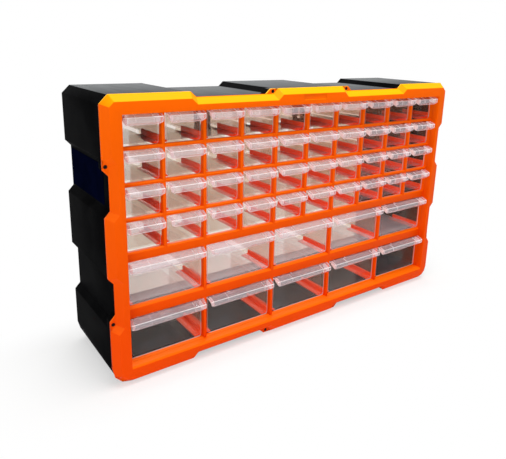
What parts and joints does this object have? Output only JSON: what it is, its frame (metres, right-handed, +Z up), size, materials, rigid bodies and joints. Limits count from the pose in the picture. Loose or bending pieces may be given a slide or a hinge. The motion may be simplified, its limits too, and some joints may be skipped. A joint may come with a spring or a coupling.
{
  "type": "parts bin cabinet",
  "caption": "Wide bench or wall cabinet with rows of small and large clear pull-out drawers in a notched bright frame, screwed to a dark housing that is open at the back.",
  "frame": {"origin": "middle of the base, on the surface the cabinet stands on", "axes": "+X to the right seen from the front, +Y to the back, +Z up; the drawers pull out towards -Y"},
  "size_m": [0.642, 0.16, 0.383],
  "materials": {
    "frame_plastic": "injection moulded, satin gloss",
    "runner_plastic": "injection moulded, satin gloss",
    "housing_plastic": "injection moulded, fine texture",
    "screw_steel": "black oxide",
    "label_film": "blank dark film",
    "drawer_clear": "clear moulded plastic"
  },
  "bodies": {
    "cabinet": {"front_frame": "frame_plastic", "grid_bars": "frame_plastic", "grid_dividers": "frame_plastic", "small_runners": "runner_plastic", "large_runners": "runner_plastic", "rear_housing": "housing_plastic", "housing_back": "housing_plastic", "frame_screws": "screw_steel", "side_label": "label_film"},
    "small_drawer_body_r1_c1": {"small_drawer_r1_c1": "drawer_clear"},
    "small_drawer_body_r1_c2": {"small_drawer_r1_c2": "drawer_clear"},
    "small_drawer_body_r1_c3": {"small_drawer_r1_c3": "drawer_clear"},
    "small_drawer_body_r1_c4": {"small_drawer_r1_c4": "drawer_clear"},
    "small_drawer_body_r1_c5": {"small_drawer_r1_c5": "drawer_clear"},
    "small_drawer_body_r1_c6": {"small_drawer_r1_c6": "drawer_clear"},
    "small_drawer_body_r1_c7": {"small_drawer_r1_c7": "drawer_clear"},
    "small_drawer_body_r1_c8": {"small_drawer_r1_c8": "drawer_clear"},
    "small_drawer_body_r1_c9": {"small_drawer_r1_c9": "drawer_clear"},
    "small_drawer_body_r1_c10": {"small_drawer_r1_c10": "drawer_clear"},
    "small_drawer_body_r2_c1": {"small_drawer_r2_c1": "drawer_clear"},
    "small_drawer_body_r2_c2": {"small_drawer_r2_c2": "drawer_clear"},
    "small_drawer_body_r2_c3": {"small_drawer_r2_c3": "drawer_clear"},
    "small_drawer_body_r2_c4": {"small_drawer_r2_c4": "drawer_clear"},
    "small_drawer_body_r2_c5": {"small_drawer_r2_c5": "drawer_clear"},
    "small_drawer_body_r2_c6": {"small_drawer_r2_c6": "drawer_clear"},
    "small_drawer_body_r2_c7": {"small_drawer_r2_c7": "drawer_clear"},
    "small_drawer_body_r2_c8": {"small_drawer_r2_c8": "drawer_clear"},
    "small_drawer_body_r2_c9": {"small_drawer_r2_c9": "drawer_clear"},
    "small_drawer_body_r2_c10": {"small_drawer_r2_c10": "drawer_clear"},
    "small_drawer_body_r3_c1": {"small_drawer_r3_c1": "drawer_clear"},
    "small_drawer_body_r3_c2": {"small_drawer_r3_c2": "drawer_clear"},
    "small_drawer_body_r3_c3": {"small_drawer_r3_c3": "drawer_clear"},
    "small_drawer_body_r3_c4": {"small_drawer_r3_c4": "drawer_clear"},
    "small_drawer_body_r3_c5": {"small_drawer_r3_c5": "drawer_clear"},
    "small_drawer_body_r3_c6": {"small_drawer_r3_c6": "drawer_clear"},
    "small_drawer_body_r3_c7": {"small_drawer_r3_c7": "drawer_clear"},
    "small_drawer_body_r3_c8": {"small_drawer_r3_c8": "drawer_clear"},
    "small_drawer_body_r3_c9": {"small_drawer_r3_c9": "drawer_clear"},
    "small_drawer_body_r3_c10": {"small_drawer_r3_c10": "drawer_clear"},
    "small_drawer_body_r4_c1": {"small_drawer_r4_c1": "drawer_clear"},
    "small_drawer_body_r4_c2": {"small_drawer_r4_c2": "drawer_clear"},
    "small_drawer_body_r4_c3": {"small_drawer_r4_c3": "drawer_clear"},
    "small_drawer_body_r4_c4": {"small_drawer_r4_c4": "drawer_clear"},
    "small_drawer_body_r4_c5": {"small_drawer_r4_c5": "drawer_clear"},
    "small_drawer_body_r4_c6": {"small_drawer_r4_c6": "drawer_clear"},
    "small_drawer_body_r4_c7": {"small_drawer_r4_c7": "drawer_clear"},
    "small_drawer_body_r4_c8": {"small_drawer_r4_c8": "drawer_clear"},
    "small_drawer_body_r4_c9": {"small_drawer_r4_c9": "drawer_clear"},
    "small_drawer_body_r4_c10": {"small_drawer_r4_c10": "drawer_clear"},
    "large_drawer_body_r1_c1": {"large_drawer_r1_c1": "drawer_clear"},
    "large_drawer_body_r1_c2": {"large_drawer_r1_c2": "drawer_clear"},
    "large_drawer_body_r1_c3": {"large_drawer_r1_c3": "drawer_clear"},
    "large_drawer_body_r1_c4": {"large_drawer_r1_c4": "drawer_clear"},
    "large_drawer_body_r1_c5": {"large_drawer_r1_c5": "drawer_clear"},
    "large_drawer_body_r2_c1": {"large_drawer_r2_c1": "drawer_clear"},
    "large_drawer_body_r2_c2": {"large_drawer_r2_c2": "drawer_clear"},
    "large_drawer_body_r2_c3": {"large_drawer_r2_c3": "drawer_clear"},
    "large_drawer_body_r2_c4": {"large_drawer_r2_c4": "drawer_clear"},
    "large_drawer_body_r2_c5": {"large_drawer_r2_c5": "drawer_clear"}
  },
  "joints": [
    {"name": "small_drawer_r1_c1_slide", "type": "slide", "parent": "cabinet", "child": "small_drawer_body_r1_c1", "axis": [0, -1, 0], "range_m": [0, 0.122]},
    {"name": "small_drawer_r1_c2_slide", "type": "slide", "parent": "cabinet", "child": "small_drawer_body_r1_c2", "axis": [0, -1, 0], "range_m": [0, 0.122]},
    {"name": "small_drawer_r1_c3_slide", "type": "slide", "parent": "cabinet", "child": "small_drawer_body_r1_c3", "axis": [0, -1, 0], "range_m": [0, 0.122]},
    {"name": "small_drawer_r1_c4_slide", "type": "slide", "parent": "cabinet", "child": "small_drawer_body_r1_c4", "axis": [0, -1, 0], "range_m": [0, 0.122]},
    {"name": "small_drawer_r1_c5_slide", "type": "slide", "parent": "cabinet", "child": "small_drawer_body_r1_c5", "axis": [0, -1, 0], "range_m": [0, 0.122]},
    {"name": "small_drawer_r1_c6_slide", "type": "slide", "parent": "cabinet", "child": "small_drawer_body_r1_c6", "axis": [0, -1, 0], "range_m": [0, 0.122]},
    {"name": "small_drawer_r1_c7_slide", "type": "slide", "parent": "cabinet", "child": "small_drawer_body_r1_c7", "axis": [0, -1, 0], "range_m": [0, 0.122]},
    {"name": "small_drawer_r1_c8_slide", "type": "slide", "parent": "cabinet", "child": "small_drawer_body_r1_c8", "axis": [0, -1, 0], "range_m": [0, 0.122]},
    {"name": "small_drawer_r1_c9_slide", "type": "slide", "parent": "cabinet", "child": "small_drawer_body_r1_c9", "axis": [0, -1, 0], "range_m": [0, 0.122]},
    {"name": "small_drawer_r1_c10_slide", "type": "slide", "parent": "cabinet", "child": "small_drawer_body_r1_c10", "axis": [0, -1, 0], "range_m": [0, 0.122]},
    {"name": "small_drawer_r2_c1_slide", "type": "slide", "parent": "cabinet", "child": "small_drawer_body_r2_c1", "axis": [0, -1, 0], "range_m": [0, 0.122]},
    {"name": "small_drawer_r2_c2_slide", "type": "slide", "parent": "cabinet", "child": "small_drawer_body_r2_c2", "axis": [0, -1, 0], "range_m": [0, 0.122]},
    {"name": "small_drawer_r2_c3_slide", "type": "slide", "parent": "cabinet", "child": "small_drawer_body_r2_c3", "axis": [0, -1, 0], "range_m": [0, 0.122]},
    {"name": "small_drawer_r2_c4_slide", "type": "slide", "parent": "cabinet", "child": "small_drawer_body_r2_c4", "axis": [0, -1, 0], "range_m": [0, 0.122]},
    {"name": "small_drawer_r2_c5_slide", "type": "slide", "parent": "cabinet", "child": "small_drawer_body_r2_c5", "axis": [0, -1, 0], "range_m": [0, 0.122]},
    {"name": "small_drawer_r2_c6_slide", "type": "slide", "parent": "cabinet", "child": "small_drawer_body_r2_c6", "axis": [0, -1, 0], "range_m": [0, 0.122]},
    {"name": "small_drawer_r2_c7_slide", "type": "slide", "parent": "cabinet", "child": "small_drawer_body_r2_c7", "axis": [0, -1, 0], "range_m": [0, 0.122]},
    {"name": "small_drawer_r2_c8_slide", "type": "slide", "parent": "cabinet", "child": "small_drawer_body_r2_c8", "axis": [0, -1, 0], "range_m": [0, 0.122]},
    {"name": "small_drawer_r2_c9_slide", "type": "slide", "parent": "cabinet", "child": "small_drawer_body_r2_c9", "axis": [0, -1, 0], "range_m": [0, 0.122]},
    {"name": "small_drawer_r2_c10_slide", "type": "slide", "parent": "cabinet", "child": "small_drawer_body_r2_c10", "axis": [0, -1, 0], "range_m": [0, 0.122]},
    {"name": "small_drawer_r3_c1_slide", "type": "slide", "parent": "cabinet", "child": "small_drawer_body_r3_c1", "axis": [0, -1, 0], "range_m": [0, 0.122]},
    {"name": "small_drawer_r3_c2_slide", "type": "slide", "parent": "cabinet", "child": "small_drawer_body_r3_c2", "axis": [0, -1, 0], "range_m": [0, 0.122]},
    {"name": "small_drawer_r3_c3_slide", "type": "slide", "parent": "cabinet", "child": "small_drawer_body_r3_c3", "axis": [0, -1, 0], "range_m": [0, 0.122]},
    {"name": "small_drawer_r3_c4_slide", "type": "slide", "parent": "cabinet", "child": "small_drawer_body_r3_c4", "axis": [0, -1, 0], "range_m": [0, 0.122]},
    {"name": "small_drawer_r3_c5_slide", "type": "slide", "parent": "cabinet", "child": "small_drawer_body_r3_c5", "axis": [0, -1, 0], "range_m": [0, 0.122]},
    {"name": "small_drawer_r3_c6_slide", "type": "slide", "parent": "cabinet", "child": "small_drawer_body_r3_c6", "axis": [0, -1, 0], "range_m": [0, 0.122]},
    {"name": "small_drawer_r3_c7_slide", "type": "slide", "parent": "cabinet", "child": "small_drawer_body_r3_c7", "axis": [0, -1, 0], "range_m": [0, 0.122]},
    {"name": "small_drawer_r3_c8_slide", "type": "slide", "parent": "cabinet", "child": "small_drawer_body_r3_c8", "axis": [0, -1, 0], "range_m": [0, 0.122]},
    {"name": "small_drawer_r3_c9_slide", "type": "slide", "parent": "cabinet", "child": "small_drawer_body_r3_c9", "axis": [0, -1, 0], "range_m": [0, 0.122]},
    {"name": "small_drawer_r3_c10_slide", "type": "slide", "parent": "cabinet", "child": "small_drawer_body_r3_c10", "axis": [0, -1, 0], "range_m": [0, 0.122]},
    {"name": "small_drawer_r4_c1_slide", "type": "slide", "parent": "cabinet", "child": "small_drawer_body_r4_c1", "axis": [0, -1, 0], "range_m": [0, 0.122]},
    {"name": "small_drawer_r4_c2_slide", "type": "slide", "parent": "cabinet", "child": "small_drawer_body_r4_c2", "axis": [0, -1, 0], "range_m": [0, 0.122]},
    {"name": "small_drawer_r4_c3_slide", "type": "slide", "parent": "cabinet", "child": "small_drawer_body_r4_c3", "axis": [0, -1, 0], "range_m": [0, 0.122]},
    {"name": "small_drawer_r4_c4_slide", "type": "slide", "parent": "cabinet", "child": "small_drawer_body_r4_c4", "axis": [0, -1, 0], "range_m": [0, 0.122]},
    {"name": "small_drawer_r4_c5_slide", "type": "slide", "parent": "cabinet", "child": "small_drawer_body_r4_c5", "axis": [0, -1, 0], "range_m": [0, 0.122]},
    {"name": "small_drawer_r4_c6_slide", "type": "slide", "parent": "cabinet", "child": "small_drawer_body_r4_c6", "axis": [0, -1, 0], "range_m": [0, 0.122]},
    {"name": "small_drawer_r4_c7_slide", "type": "slide", "parent": "cabinet", "child": "small_drawer_body_r4_c7", "axis": [0, -1, 0], "range_m": [0, 0.122]},
    {"name": "small_drawer_r4_c8_slide", "type": "slide", "parent": "cabinet", "child": "small_drawer_body_r4_c8", "axis": [0, -1, 0], "range_m": [0, 0.122]},
    {"name": "small_drawer_r4_c9_slide", "type": "slide", "parent": "cabinet", "child": "small_drawer_body_r4_c9", "axis": [0, -1, 0], "range_m": [0, 0.122]},
    {"name": "small_drawer_r4_c10_slide", "type": "slide", "parent": "cabinet", "child": "small_drawer_body_r4_c10", "axis": [0, -1, 0], "range_m": [0, 0.122]},
    {"name": "large_drawer_r1_c1_slide", "type": "slide", "parent": "cabinet", "child": "large_drawer_body_r1_c1", "axis": [0, -1, 0], "range_m": [0, 0.122]},
    {"name": "large_drawer_r1_c2_slide", "type": "slide", "parent": "cabinet", "child": "large_drawer_body_r1_c2", "axis": [0, -1, 0], "range_m": [0, 0.122]},
    {"name": "large_drawer_r1_c3_slide", "type": "slide", "parent": "cabinet", "child": "large_drawer_body_r1_c3", "axis": [0, -1, 0], "range_m": [0, 0.122]},
    {"name": "large_drawer_r1_c4_slide", "type": "slide", "parent": "cabinet", "child": "large_drawer_body_r1_c4", "axis": [0, -1, 0], "range_m": [0, 0.122]},
    {"name": "large_drawer_r1_c5_slide", "type": "slide", "parent": "cabinet", "child": "large_drawer_body_r1_c5", "axis": [0, -1, 0], "range_m": [0, 0.122]},
    {"name": "large_drawer_r2_c1_slide", "type": "slide", "parent": "cabinet", "child": "large_drawer_body_r2_c1", "axis": [0, -1, 0], "range_m": [0, 0.122]},
    {"name": "large_drawer_r2_c2_slide", "type": "slide", "parent": "cabinet", "child": "large_drawer_body_r2_c2", "axis": [0, -1, 0], "range_m": [0, 0.122]},
    {"name": "large_drawer_r2_c3_slide", "type": "slide", "parent": "cabinet", "child": "large_drawer_body_r2_c3", "axis": [0, -1, 0], "range_m": [0, 0.122]},
    {"name": "large_drawer_r2_c4_slide", "type": "slide", "parent": "cabinet", "child": "large_drawer_body_r2_c4", "axis": [0, -1, 0], "range_m": [0, 0.122]},
    {"name": "large_drawer_r2_c5_slide", "type": "slide", "parent": "cabinet", "child": "large_drawer_body_r2_c5", "axis": [0, -1, 0], "range_m": [0, 0.122]}
  ]
}
